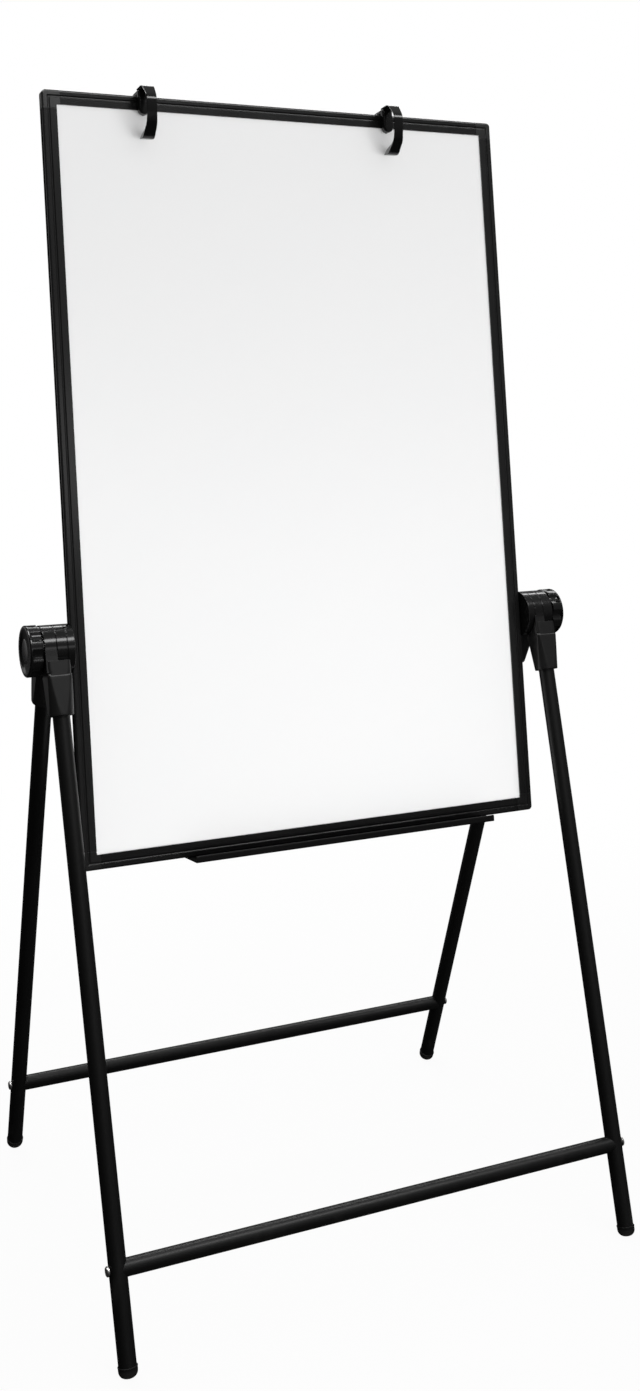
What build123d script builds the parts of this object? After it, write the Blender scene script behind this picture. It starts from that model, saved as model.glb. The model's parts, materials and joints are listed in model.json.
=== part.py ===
from build123d import *

import os
from math import atan, cos, degrees, hypot, radians, sin

# Folding floor easel with a magnetic whiteboard that tilts and slides up and down between its legs.
#
# Millimetres. +Z is up, -Y is the front and +X is to the right of someone who faces the board. The origin
# is on the floor, midway between the four feet and straight under the hub axis.

# ---- Board ----
board_width = 610.0
board_height = 914.0
board_drop = 258.0  # from the hub axis down to the board's lower edge
board_tilt = 9.0  # degrees that the board leans back at rest
rail_width = 17.5
rail_depth = 14.0  # the frame's thickness, front face to back face
rail_round = 2.5
panel_bite = 8.5  # how far the panel enters its groove
panel_thickness = 10.0
sheet_thickness = 0.3
channel_mouth = 7.4
channel_lip = 2.0
channel_width = 11.0
channel_depth = 4.0
face_groove_inset = 7.9  # from the rail's outer edge to the middle of the groove on its face
face_groove_radius = 1.6
face_groove_depth = 1.3
corner_leg = 22.0
corner_round = 5.0
peg_length = 25.0
peg_clearance = 0.15

# ---- Hubs ----
hub_diameter = 58.0
hub_edge = 0.5  # radius on the rims of the discs and rings
hub_gap = 0.3  # between neighbours in the stack
board_gap = 0.5  # between a rail's outer side and its clamp
clamp_width = 8.7
boss_diameter = 20.0
boss_setback = 0.6  # how far the boss stops short of the outer ring's outer face
running_clearance = 0.08
bolt_diameter = 6.0
bolt_clearance = 0.05
screw_hole_clearance = 0.2
bolt_head_length = 20.0
bolt_head_thickness = 3.4
channel_clearance = 0.3
tongue_length = 24.0
washer_diameter = 34.0
washer_thickness = 1.2
knob_diameter = 60.0
knob_width = 15.5
knob_lip = 3.2  # the smooth rim that the flutes leave at the outer end
knob_flutes = 8
flute_radius = 10.0
flute_depth = 3.2
flute_turn = -3.0  # degrees from +Y, seen along +X, to the first flute
knob_rim = 2.0
nut_flats = 13.0
nut_length = 9.0
knob_cap_diameter = 30.0
knob_cap_thickness = 2.5
stop_radius = 19.0
stop_pin_diameter = 6.0
stop_pin_length = 4.0
stop_clearance = 0.3
stop_angle = 90.0  # where the stop pin stands at rest, seen along +X, from +Y

# ---- Legs ----
leg_diameter = 20.0
leg_wall = 1.5
leg_reach = 780.0  # along the leg's axis, from hub level to the floor
leg_angle = 18.0  # each frame's lean, from upright
leg_offset = 16.0  # the leg's axis passes this far from the hub axis
leg_side_gap = 22.0  # from the board's side to the legs' axes at hub level
toe_in = 7.0  # how much nearer to the middle each foot is
socket_width = 28.5
socket_round = 5.0
socket_start = 16.0  # from hub level down to the shoulder where the full width begins
socket_length = 78.0
socket_straight = 24.0  # from hub level down to where the corners start to grow rounder
socket_taper = 16.0
socket_taper_round = 12.0  # the corners' radius where the taper begins
neck_step = 1.5  # how far the neck lies behind the socket's face
socket_lip = 1.2  # the socket's wall at its lower end
socket_end_flat = 0.6  # half of the flat that is left on each side of the socket's lower end
socket_clearance = 0.7  # between a socket's shoulder and the discs that turn inside it
tube_start = 34.0
tube_clearance = 0.1
screw_reach = 46.0
screw_diameter = 4.0
screw_head_diameter = 8.0
crossbar_diameter = 19.0
crossbar_wall = 1.5
crossbar_rise = 109.0  # from the floor up to the crossbar's axis, along the leg
plug_length = 30.0
plug_clearance = 0.1
crossbar_bolt_diameter = 6.0
crossbar_bolt_length = 49.4
bolt_cap_diameter = 11.0
bolt_cap_clearance = 0.1
bolt_cap_height = 3.2
bolt_cap_round = 1.9
bolt_cap_flats = 4.0
bolt_cap_socket = 1.6
foot_diameter = 22.0
foot_length = 13.0
foot_round = 7.5
foot_flat = 0.5  # depth of the flat that the floor takes off the rounded end
foot_stem = 20.0

# ---- Pen tray ----
tray_length = 404.0
tray_middle = 26.0  # how far the tray stands right of the board's middle
tray_reach = 30.0  # from the frame's front face to the tray's front
tray_wall = 2.0
tray_lip = 8.0
tray_bead = 1.5
tray_edge_round = 1.8
tray_flange = 9.0
slide_gap = 0.3
tray_screw_spacing = 240.0
tray_screw_diameter = 5.0
tray_screw_head = 14.0
tray_screw_grip = 5.0
tray_screw_knurls = 16
knurl_radius = 0.5
tray_nut_length = 14.0

# ---- Flip-chart hooks ----
hook_places = {"left": -182.0, "right": 147.0}
hook_width = 14.0
hook_wall = 3.0
hook_jaw = 9.0  # the thick wall in front of the rail
hook_front_drop = 25.0
hook_back_drop = 18.0
hook_top = 5.8
hook_tip_round = 5.0
hook_corner_round = 3.0
hook_arm_round = 1.4
# Corners of the arm seen from its side: distance in front of the frame, and height above the board's upper edge
hook_arm = [
    (6.0, 6.1),
    (24.0, 6.1),
    (37.4, -11.0),
    (36.4, -29.0),
    (33.0, -43.0),
    (17.5, -57.0),
    (5.3, -54.5),
    (8.4, -46.8),
    (29.5, -41.0),
    (33.2, -29.0),
    (34.0, -12.0),
    (22.4, 2.7),
    (6.0, 2.7),
]
# The arm seen from the front: half of its width at heights above the board's upper edge
hook_arm_spread = [(10.0, 8.6), (5.0, 8.6), (-11.0, 6.9), (-29.0, 6.3), (-60.0, 6.3)]

# ---- Worked out from the values above ----
tolerance = 0.01  # for telling edges apart
sides = {"left": -1, "right": 1}
leans = {"front": -1, "rear": 1}
lean = radians(leg_angle)
toe = atan(toe_in / leg_reach)
hub_height = leg_reach * cos(lean) * cos(toe) - leg_offset * sin(lean)
hub_radius = hub_diameter / 2
knob_radius = knob_diameter / 2
tilt = radians(board_tilt)
board_up = Vector(0, sin(tilt), cos(tilt))
board_out = Vector(0, -cos(tilt), sin(tilt))
board_plane = Plane(origin=(0, 0, hub_height), x_dir=(1, 0, 0), z_dir=board_out)
board_half = board_width / 2
leg_spacing = board_half + leg_side_gap  # half the distance between a frame's legs at hub level
crossbar_reach = leg_reach - crossbar_rise
board_bottom = -board_drop
board_top = board_height - board_drop
board_middle = (board_top + board_bottom) / 2
face = rail_depth / 2
groove_floor = rail_width - panel_bite  # from the rail's outer edge to the panel's edge
channel_floor = channel_lip + channel_depth
groove_centre = face + face_groove_radius - face_groove_depth

clamp_start = board_half + board_gap
clamp_end = clamp_start + clamp_width
socket_in = leg_spacing - socket_width / 2
socket_out = leg_spacing + socket_width / 2
# Each hub holds two leg rings that lap over the legs' axes: where each starts and ends, and where its neck does
ring_spans = {
    "inner": (clamp_end + hub_gap, leg_spacing - hub_gap / 2),
    "outer": (leg_spacing + hub_gap / 2, socket_out),
}
neck_spans = {
    "inner": (socket_in, leg_spacing - hub_gap / 2),
    "outer": (leg_spacing + hub_gap / 2, socket_out),
}
lap_faces = {"inner": leg_spacing - hub_gap / 2, "outer": leg_spacing + hub_gap / 2}
lap_ways = {"inner": 1, "outer": -1}
washer_start = socket_out + hub_gap
knob_start = washer_start + washer_thickness
knob_end = knob_start + knob_width
boss_end = socket_out - boss_setback
ring_bore = boss_diameter / 2 + running_clearance
fold_angle = 2 * leg_angle


def hub_plane(x):
    """Upright plane across the hub axis: its x is +Y, its y is +Z and its normal is +X."""
    return Plane(origin=(x, 0, hub_height), x_dir=(0, 1, 0), z_dir=(1, 0, 0))


def side_plane(x):
    """Plane across the hub axis that leans with the board: its x is up the board, its y is out of it."""
    return Plane(origin=(x, 0, hub_height), x_dir=board_up, z_dir=(1, 0, 0))


def on_board(x, y, z=0.0):
    """World point from the board's own coordinates: right, up from the hub axis and out of the board."""
    return board_plane.from_local_coords(Vector(x, y, z))


def leg_plane(side, frame):
    """Plane on a leg's axis at hub level: its z runs down the leg and its y points to the front."""
    y_way = leans[frame]
    down = Vector(-side * sin(toe), y_way * sin(lean) * cos(toe), -cos(lean) * cos(toe))
    across = Vector(1, 0, 0) - down * down.X
    start = Vector(side * leg_spacing, y_way * leg_offset * cos(lean), hub_height + leg_offset * sin(lean))
    return Plane(origin=start, x_dir=across, z_dir=down)


def leg_point(side, frame, reach):
    """Point on a leg's axis, a given way down from hub level."""
    return leg_plane(side, frame).from_local_coords(Vector(0, 0, reach))


def ring_place(side, frame):
    """Which half of the lap a ring takes: one moulding, turned to face its own way, fits all four legs."""
    return "outer" if side * leans[frame] > 0 else "inner"


def neck_outline(frame):
    """Corners of the neck that joins a hub ring to its socket, in hub_plane's coordinates."""
    y_way = leans[frame]
    inner = leg_offset - socket_width / 2
    outer = leg_offset + socket_width / 2 - neck_step
    shoulder = hub_radius + socket_clearance
    corners = [(0, inner), (shoulder, inner), (shoulder, outer), (0, outer)]
    return [
        (y_way * (away * cos(lean) + down * sin(lean)), away * sin(lean) - down * cos(lean))
        for down, away in corners
    ]


def write(part, name):
    """Label a finished piece and write it as its own file."""
    part.label = name
    export_step(part, f"parts/{name}.step")


os.makedirs("parts", exist_ok=True)

# ---- Leg frames: tubes, sockets, screws and feet ----
for frame, y_way in leans.items():
    with BuildPart() as socket_screws:
        for side in sides.values():
            leg = leg_plane(side, frame)
            wall_depth = socket_width / 2 - leg_diameter / 2 + leg_wall
            head_depth = (screw_head_diameter - screw_diameter) / 2
            inner_side = leg.from_local_coords(Vector(0, y_way * socket_width / 2, screw_reach))
            seat = Plane(origin=inner_side, x_dir=leg.x_dir, z_dir=leg.y_dir * -y_way)
            with BuildSketch(seat):
                Circle(screw_head_diameter / 2)
            with BuildSketch(seat.offset(head_depth)):
                Circle(screw_diameter / 2)
            loft()
            with BuildSketch(seat.offset(head_depth)):
                Circle(screw_diameter / 2)
            extrude(amount=wall_depth - head_depth)
    write(socket_screws.part, f"{frame}_socket_screws")

    for side_name, side in sides.items():
        leg = leg_plane(side, frame)
        joint = leg_point(side, frame, crossbar_reach)
        bolt_line = Plane(origin=joint, x_dir=(0, 1, 0), z_dir=(1, 0, 0))
        place = ring_place(side, frame)
        ring_start, ring_end = ring_spans[place]
        neck_start, neck_end = neck_spans[place]
        lap_plane = hub_plane(side * lap_faces[place])
        lap_way = side * lap_ways[place]

        with BuildPart() as tube:
            with BuildSketch(leg.offset(tube_start)):
                Circle(leg_diameter / 2)
                Circle(leg_diameter / 2 - leg_wall, mode=Mode.SUBTRACT)
            extrude(amount=leg_reach - foot_length - tube_start)
            with BuildSketch(bolt_line):
                Circle(crossbar_bolt_diameter / 2 + screw_hole_clearance)
            extrude(amount=leg_diameter, both=True, mode=Mode.SUBTRACT)
            add(socket_screws.part, mode=Mode.SUBTRACT)
        write(tube.part, f"{frame}_leg_{side_name}")

        with BuildPart() as socket:
            with BuildSketch(hub_plane(side * ring_start)):
                Circle(hub_radius)
            extrude(amount=side * (ring_end - ring_start))
            fillet(socket.edges(), radius=hub_edge)
            with BuildSketch(hub_plane(side * neck_start)):
                with BuildLine():
                    Polyline(*neck_outline(frame), close=True)
                make_face()
            extrude(amount=side * (neck_end - neck_start))
            with BuildSketch(leg.offset(socket_start)):
                RectangleRounded(socket_width, socket_width, socket_round)
            extrude(amount=socket_straight - socket_start)
            lip_width = leg_diameter + 2 * socket_lip
            stages = [
                (socket_straight, socket_width, socket_round),
                (socket_length - socket_taper, socket_width, socket_taper_round),
                (socket_length, lip_width, lip_width / 2 - socket_end_flat),
            ]
            for stage in zip(stages, stages[1:]):
                for reach, width, radius in stage:
                    with BuildSketch(leg.offset(reach)):
                        RectangleRounded(width, width, radius)
                loft()
            # Room for the discs and rings that turn beside this ring
            stack_inside = Plane(origin=(side * board_half, 0, hub_height), x_dir=(0, 1, 0), z_dir=(side, 0, 0))
            with BuildSketch(stack_inside):
                Circle(hub_radius + socket_clearance)
            extrude(amount=ring_start - board_half, mode=Mode.SUBTRACT)
            with BuildSketch(stack_inside.offset(ring_end - board_half)):
                Circle(hub_radius + socket_clearance)
            extrude(amount=knob_end - ring_end, mode=Mode.SUBTRACT)
            # Bores for the boss, the tube and the screw
            with BuildSketch(stack_inside):
                Circle(ring_bore)
            extrude(amount=knob_end - board_half, mode=Mode.SUBTRACT)
            with BuildSketch(leg.offset(tube_start)):
                Circle(leg_diameter / 2 + tube_clearance)
            extrude(amount=socket_length, mode=Mode.SUBTRACT)
            add(socket_screws.part, mode=Mode.SUBTRACT)
            # The stop: a pin on the rear ring runs in an arc cut into the front ring
            if frame == "rear":
                with BuildSketch(lap_plane):
                    with PolarLocations(stop_radius, 1, start_angle=stop_angle):
                        Circle(stop_pin_diameter / 2)
                extrude(amount=lap_way * stop_pin_length)
            else:
                with BuildSketch(lap_plane):
                    with BuildLine():
                        travel = CenterArc((0, 0), stop_radius, stop_angle - fold_angle, fold_angle)
                    SlotArc(travel, stop_pin_diameter + 2 * stop_clearance)
                extrude(amount=-lap_way * (stop_pin_length + stop_clearance), mode=Mode.SUBTRACT)
        write(socket.part, f"{frame}_socket_{side_name}")

        with BuildPart() as foot:
            upright = -leg.z_dir.Z
            sideways = hypot(leg.z_dir.X, leg.z_dir.Y)
            round_centre = foot_diameter / 2 - foot_round
            foot_end = leg_reach + foot_round - (round_centre * sideways + foot_round - foot_flat) / upright
            collar = leg_reach - foot_length
            with BuildSketch(leg.offset(collar)):
                Circle(foot_diameter / 2)
            extrude(amount=foot_end - collar)
            fillet(foot.faces().sort_by(Axis(leg.origin, leg.z_dir))[-1].edges(), radius=foot_round)
            with BuildSketch(leg.offset(collar)):
                Circle(leg_diameter / 2 - leg_wall - plug_clearance)
            extrude(amount=-foot_stem)
            split(bisect_by=Plane.XY, keep=Keep.TOP)
        write(foot.part, f"{frame}_foot_{side_name}")

    # ---- Crossbar, its plugs and its bolts ----
    joints = [leg_point(side, frame, crossbar_reach) for side in sides.values()]
    bar_half = joints[1].X
    bar_plane = Plane(origin=(0, joints[0].Y, joints[0].Z), x_dir=(0, 1, 0), z_dir=(1, 0, 0))

    with BuildPart() as leg_pair:
        for side in sides.values():
            with BuildSketch(leg_plane(side, frame).offset(crossbar_reach)):
                Circle(leg_diameter / 2)
            extrude(amount=leg_diameter + crossbar_diameter, both=True)

    with BuildPart() as crossbar:
        with BuildSketch(bar_plane):
            Circle(crossbar_diameter / 2)
            Circle(crossbar_diameter / 2 - crossbar_wall, mode=Mode.SUBTRACT)
        extrude(amount=bar_half, both=True)
        add(leg_pair.part, mode=Mode.SUBTRACT)
    write(crossbar.part, f"{frame}_crossbar")

    plug_reach = leg_diameter / 2 + plug_length
    with BuildPart() as plugs:
        for side in sides.values():
            with BuildSketch(bar_plane.offset(side * (bar_half - plug_reach))):
                Circle(crossbar_diameter / 2 - crossbar_wall - plug_clearance)
                Circle(crossbar_bolt_diameter / 2 + bolt_clearance, mode=Mode.SUBTRACT)
            extrude(amount=side * plug_reach)
        add(leg_pair.part, mode=Mode.SUBTRACT)
    write(plugs.part, f"{frame}_crossbar_plugs")

    with BuildPart() as crossbar_bolts:
        for side in sides.values():
            head_seat = side * (bar_half + leg_diameter / 2 + bolt_cap_clearance)
            with BuildSketch(bar_plane.offset(head_seat)):
                Circle(crossbar_bolt_diameter / 2)
            extrude(amount=-side * crossbar_bolt_length)
            with BuildSketch(bar_plane.offset(head_seat)):
                Circle(bolt_cap_diameter / 2)
            extrude(amount=side * bolt_cap_height)
            cap_end = crossbar_bolts.faces().sort_by(Axis.X)[-1 if side > 0 else 0]
            fillet(cap_end.edges(), radius=bolt_cap_round)
            with BuildSketch(bar_plane.offset(head_seat + side * bolt_cap_height)):
                RegularPolygon(bolt_cap_flats / 2, 6, major_radius=False)
            extrude(amount=-side * bolt_cap_socket, mode=Mode.SUBTRACT)
    write(crossbar_bolts.part, f"{frame}_crossbar_bolts")

# ---- Hubs: clamps, bolts, washers and knobs ----
for side_name, side in sides.items():
    with BuildPart() as clamp:
        with BuildSketch(hub_plane(side * clamp_start)):
            Circle(hub_radius)
        extrude(amount=side * clamp_width)
        fillet(clamp.edges(), radius=hub_edge)
        with BuildSketch(hub_plane(side * clamp_end)):
            Circle(boss_diameter / 2)
        extrude(amount=side * (boss_end - clamp_end))
        with BuildSketch(side_plane(side * clamp_start)):
            Rectangle(tongue_length, channel_mouth - channel_clearance)
        extrude(amount=-side * (board_gap + channel_lip - channel_clearance))
        with BuildSketch(hub_plane(side * board_half)):
            Circle(bolt_diameter / 2 + bolt_clearance)
        extrude(amount=side * (boss_end - board_half), both=True, mode=Mode.SUBTRACT)
    write(clamp.part, f"clamp_{side_name}")

    bolt_end = knob_start + nut_length
    head_start = board_half - channel_lip - channel_clearance
    with BuildPart() as pivot_bolt:
        with BuildSketch(side_plane(side * head_start)):
            Rectangle(bolt_head_length, channel_width - 2 * channel_clearance)
        extrude(amount=-side * bolt_head_thickness)
        with BuildSketch(side_plane(side * head_start)):
            Circle(bolt_diameter / 2)
        extrude(amount=side * (bolt_end - head_start))
    write(pivot_bolt.part, f"pivot_bolt_{side_name}")

    with BuildPart() as washer:
        with BuildSketch(hub_plane(side * washer_start)):
            Circle(washer_diameter / 2)
            Circle(bolt_diameter / 2 + bolt_clearance, mode=Mode.SUBTRACT)
        extrude(amount=side * washer_thickness)
    write(washer.part, f"knob_washer_{side_name}")

    with BuildPart() as nut:
        with BuildSketch(hub_plane(side * knob_start)):
            RegularPolygon(nut_flats / 2, 6, major_radius=False)
            Circle(bolt_diameter / 2 + bolt_clearance, mode=Mode.SUBTRACT)
        extrude(amount=side * nut_length)
    write(nut.part, f"knob_nut_{side_name}")

    with BuildPart() as knob_cap:
        with BuildSketch(hub_plane(side * knob_end)):
            Circle(knob_cap_diameter / 2)
        extrude(amount=-side * knob_cap_thickness)
        fillet(knob_cap.faces().sort_by(Axis.X)[-1 if side > 0 else 0].edges(), radius=hub_edge)
    write(knob_cap.part, f"knob_cap_{side_name}")

    with BuildPart() as knob:
        with BuildSketch(hub_plane(side * knob_start)):
            Circle(knob_radius)
        extrude(amount=side * knob_width)
        rim = knob.faces().sort_by(Axis.X)[-1 if side > 0 else 0]
        fillet(rim.edges(), radius=knob_rim)
        with BuildSketch(hub_plane(side * knob_start)):
            with PolarLocations(knob_radius + flute_radius - flute_depth, knob_flutes, start_angle=flute_turn):
                Circle(flute_radius)
        extrude(amount=side * (knob_width - knob_lip), mode=Mode.SUBTRACT)
        with BuildSketch(hub_plane(side * knob_start)):
            RegularPolygon(nut_flats / 2, 6, major_radius=False)
        extrude(amount=side * nut_length, mode=Mode.SUBTRACT)
        with BuildSketch(hub_plane(side * knob_end)):
            Circle(knob_cap_diameter / 2)
        extrude(amount=-side * knob_cap_thickness, mode=Mode.SUBTRACT)
    write(knob.part, f"knob_{side_name}")

# ---- Board: rails, corners and panel ----
with BuildSketch() as rail_section:
    # x runs outward and ends at the rail's outer edge, y runs through the board's thickness
    with Locations((-rail_width / 2, 0)):
        Rectangle(rail_width, rail_depth)
    fillet(rail_section.vertices().group_by(Axis.X)[-1], radius=rail_round)
    with Locations((-rail_width + panel_bite / 2, 0)):
        Rectangle(panel_bite, panel_thickness, mode=Mode.SUBTRACT)
    with Locations((-channel_lip / 2, 0)):
        Rectangle(channel_lip, channel_mouth, mode=Mode.SUBTRACT)
    with Locations((-channel_lip - channel_depth / 2, 0)):
        Rectangle(channel_depth, channel_width, mode=Mode.SUBTRACT)
    with Locations((-face_groove_inset, groove_centre), (-face_groove_inset, -groove_centre)):
        Circle(face_groove_radius, mode=Mode.SUBTRACT)

across_length = board_width - 2 * corner_leg
upright_length = board_height - 2 * corner_leg
rails = {
    "rail_top": (on_board(-across_length / 2, board_top), board_up, Vector(1, 0, 0), across_length),
    "rail_bottom": (on_board(-across_length / 2, board_bottom), -board_up, Vector(1, 0, 0), across_length),
    "rail_left": (on_board(-board_half, board_bottom + corner_leg), Vector(-1, 0, 0), board_up, upright_length),
    "rail_right": (on_board(board_half, board_bottom + corner_leg), Vector(1, 0, 0), board_up, upright_length),
}
for name, (start, outward, along, length) in rails.items():
    with BuildPart() as rail:
        with BuildSketch(Plane(origin=start, x_dir=outward, z_dir=along)):
            add(rail_section.sketch)
        extrude(amount=length)
    write(rail.part, name)

groove_reach = corner_leg + face_groove_radius  # runs out past the corner's ends
peg_low = channel_lip + peg_clearance
peg_high = channel_floor - peg_clearance
peg_end = corner_leg + peg_length
peg_width = channel_width - 2 * peg_clearance
for level_name, y_side, edge_y in (("top", 1, board_top), ("bottom", -1, board_bottom)):
    for side_name, side in sides.items():
        corner_x = side * board_half

        def inset(across, down):
            """Point a given way in from this corner, along the board's width and along its height."""
            return corner_x - side * across, edge_y - y_side * down

        def is_outer(edge):
            """True for the long outer edges of the corner's front and back faces."""
            middle = board_plane.to_local_coords(edge.center())
            near_x = abs(middle.X - corner_x) < corner_round / 2
            near_y = abs(middle.Y - edge_y) < corner_round / 2
            return abs(abs(middle.Z) - face) < tolerance and (near_x or near_y)

        groove_line = [
            inset(groove_reach, face_groove_inset),
            inset(face_groove_inset, face_groove_inset),
            inset(face_groove_inset, groove_reach),
        ]
        # Opposite corners of the panel's pocket and of the two pegs that enter the rails' channels
        pocket = (inset(groove_floor, groove_floor), inset(corner_leg, corner_leg), panel_thickness)
        pegs = [
            (inset(corner_leg, peg_low), inset(peg_end, peg_high), peg_width),
            (inset(peg_low, corner_leg), inset(peg_high, peg_end), peg_width),
        ]

        with BuildPart() as corner_piece:
            with BuildSketch(board_plane) as outline:
                with BuildLine():
                    Polyline(
                        inset(0, 0),
                        inset(corner_leg, 0),
                        inset(corner_leg, rail_width),
                        inset(rail_width, rail_width),
                        inset(rail_width, corner_leg),
                        inset(0, corner_leg),
                        close=True,
                    )
                make_face()
                fillet(outline.vertices().sort_by_distance((corner_x, edge_y, 0))[0], radius=corner_round)
            extrude(amount=face, both=True)
            fillet(corner_piece.edges().filter_by(is_outer), radius=rail_round)
            for front in (1, -1):
                with BuildLine(board_plane.offset(front * groove_centre)) as groove:
                    Polyline(*groove_line)
                groove_path = groove.wires()[0]
                with BuildSketch(Plane(origin=groove_path @ 0, z_dir=groove_path % 0)):
                    Circle(face_groove_radius)
                sweep(path=groove_path, transition=Transition.RIGHT, mode=Mode.SUBTRACT)
            for (first, second, thickness), mode in [(pocket, Mode.SUBTRACT)] + [(peg, Mode.ADD) for peg in pegs]:
                with BuildSketch(board_plane):
                    with Locations(((first[0] + second[0]) / 2, (first[1] + second[1]) / 2)):
                        Rectangle(abs(first[0] - second[0]), abs(first[1] - second[1]))
                extrude(amount=thickness / 2, both=True, mode=mode)
        write(corner_piece.part, f"corner_{level_name}_{side_name}")

panel_width = board_width - 2 * groove_floor
panel_height = board_height - 2 * groove_floor
core_thickness = panel_thickness - 2 * sheet_thickness
for name, low, thickness in (
    ("panel_core", -core_thickness / 2, core_thickness),
    ("panel_front_sheet", core_thickness / 2, sheet_thickness),
    ("panel_back_sheet", -panel_thickness / 2, sheet_thickness),
):
    with BuildPart() as layer:
        with BuildSketch(board_plane.offset(low)):
            with Locations((0, board_middle)):
                Rectangle(panel_width, panel_height)
        extrude(amount=thickness)
    write(layer.part, name)

# ---- Pen tray with its screws and nuts ----
tray_top = board_bottom - slide_gap
tray_bottom = tray_top - tray_wall
tray_front = face + tray_reach
flange_in = -face - slide_gap
flange_out = flange_in - tray_wall
lip_top = tray_bottom + tray_lip
tray_screw_places = [tray_middle - tray_screw_spacing / 2, tray_middle + tray_screw_spacing / 2]
with BuildPart() as tray:
    with BuildSketch(side_plane(tray_middle - tray_length / 2)) as tray_section:
        with BuildLine():
            Polyline(
                (tray_bottom, flange_out),
                (tray_bottom, tray_front),
                (lip_top - tray_bead, tray_front),
                (lip_top - tray_bead, tray_front - tray_wall),
                (tray_top, tray_front - tray_wall),
                (tray_top, flange_in),
                (tray_bottom + tray_flange, flange_in),
                (tray_bottom + tray_flange, flange_out),
                close=True,
            )
        make_face()
        low_front = tray_section.vertices().sort_by_distance((tray_bottom, tray_front, 0))[0]
        fillet(low_front, radius=tray_edge_round)
        with Locations((lip_top - tray_bead, tray_front - tray_bead)):
            Circle(tray_bead)
    extrude(amount=tray_length)
    for x in tray_screw_places:
        with BuildSketch(Plane(origin=on_board(x, tray_bottom), x_dir=(1, 0, 0), z_dir=board_up)):
            Circle(tray_screw_diameter / 2 + screw_hole_clearance)
        extrude(amount=tray_wall, mode=Mode.SUBTRACT)
write(tray.part, "pen_tray")

nut_bottom = board_bottom + channel_lip + channel_clearance
nut_height = channel_depth - 2 * channel_clearance
with BuildPart() as tray_screws:
    for x in tray_screw_places:
        below = Plane(origin=on_board(x, tray_bottom), x_dir=(1, 0, 0), z_dir=-board_up)
        with BuildSketch(below):
            Circle(tray_screw_head / 2)
            with PolarLocations(tray_screw_head / 2, tray_screw_knurls):
                Circle(knurl_radius, mode=Mode.SUBTRACT)
        extrude(amount=tray_screw_grip)
        with BuildSketch(below):
            Circle(tray_screw_diameter / 2)
        extrude(amount=-(nut_bottom + nut_height - tray_bottom))
write(tray_screws.part, "tray_screws")

with BuildPart() as tray_nuts:
    for x in tray_screw_places:
        with BuildSketch(Plane(origin=on_board(x, nut_bottom), x_dir=(1, 0, 0), z_dir=board_up)):
            Rectangle(tray_nut_length, channel_width - 2 * channel_clearance)
            Circle(tray_screw_diameter / 2 + bolt_clearance, mode=Mode.SUBTRACT)
        extrude(amount=nut_height)
write(tray_nuts.part, "tray_nuts")

# ---- Flip-chart hooks ----
clip_in = face + slide_gap
jaw_out = clip_in + hook_jaw
back_out = clip_in + hook_wall
clip_roof = board_top + slide_gap
clip_top = clip_roof + hook_top
for side_name, middle in hook_places.items():

    def is_tip(edge):
        """True for the edges that run through the clip's two lower ends."""
        middle_point = board_plane.to_local_coords(edge.center())
        through = abs(edge.tangent_at(0.5).dot(board_out)) > 1 - tolerance
        return through and middle_point.Y < clip_roof - hook_wall

    with BuildPart() as hook_arm_piece:
        with BuildSketch(side_plane(middle)) as arm_section:
            with BuildLine():
                Polyline(*[(board_top + up, face + out) for out, up in hook_arm], close=True)
            make_face()
            fillet(arm_section.vertices(), radius=hook_arm_round)
        extrude(amount=hook_width, both=True)
        spread = [(middle + half, board_top + up) for up, half in hook_arm_spread]
        spread += [(middle - half, board_top + up) for up, half in reversed(hook_arm_spread)]
        with BuildSketch(board_plane):
            with BuildLine():
                Polyline(*spread, close=True)
            make_face()
        extrude(amount=jaw_out + max(hook_arm)[0], mode=Mode.INTERSECT)

    with BuildPart() as hook:
        with BuildSketch(side_plane(middle - hook_width / 2)) as clip_section:
            with BuildLine():
                Polyline(
                    (board_top - hook_front_drop, clip_in),
                    (clip_roof, clip_in),
                    (clip_roof, -clip_in),
                    (board_top - hook_back_drop, -clip_in),
                    (board_top - hook_back_drop, -back_out),
                    (clip_top, -back_out),
                    (clip_top, jaw_out),
                    (board_top - hook_front_drop, jaw_out),
                    close=True,
                )
            make_face()
            fillet(clip_section.vertices().group_by(Axis.X)[-1], radius=hook_corner_round)
        extrude(amount=hook_width)
        fillet(hook.edges().filter_by(is_tip), radius=hook_tip_round)
        add(hook_arm_piece.part)
    write(hook.part, f"hook_{side_name}")

print("hub height", round(hub_height, 2), "fold", fold_angle, "half bar", round(bar_half, 2))
print("knob end", round(knob_end, 2), "toe", round(degrees(toe), 3))
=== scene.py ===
# %% [markdown]
# # Dressing a folding whiteboard easel
#
# The packed frame already holds every piece of the easel at its real size: steel tubes in moulded sockets,
# two clamping hubs, an extruded frame round a lacquered steel board, flip-chart hooks and a pen tray. This
# lesson gives every piece its finish, remodels the moulded pieces whose soft edges an exact solid leaves
# out, and lights the easel so that black tubes still look round in a white room. All places are in metres
# in the frame's own space, so nothing is fitted afterwards.

# %% Load the frame
import json
from math import cos, pi, radians, sin, sqrt, tau

import bmesh
import bpy
from mathutils import Matrix, Vector

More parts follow.
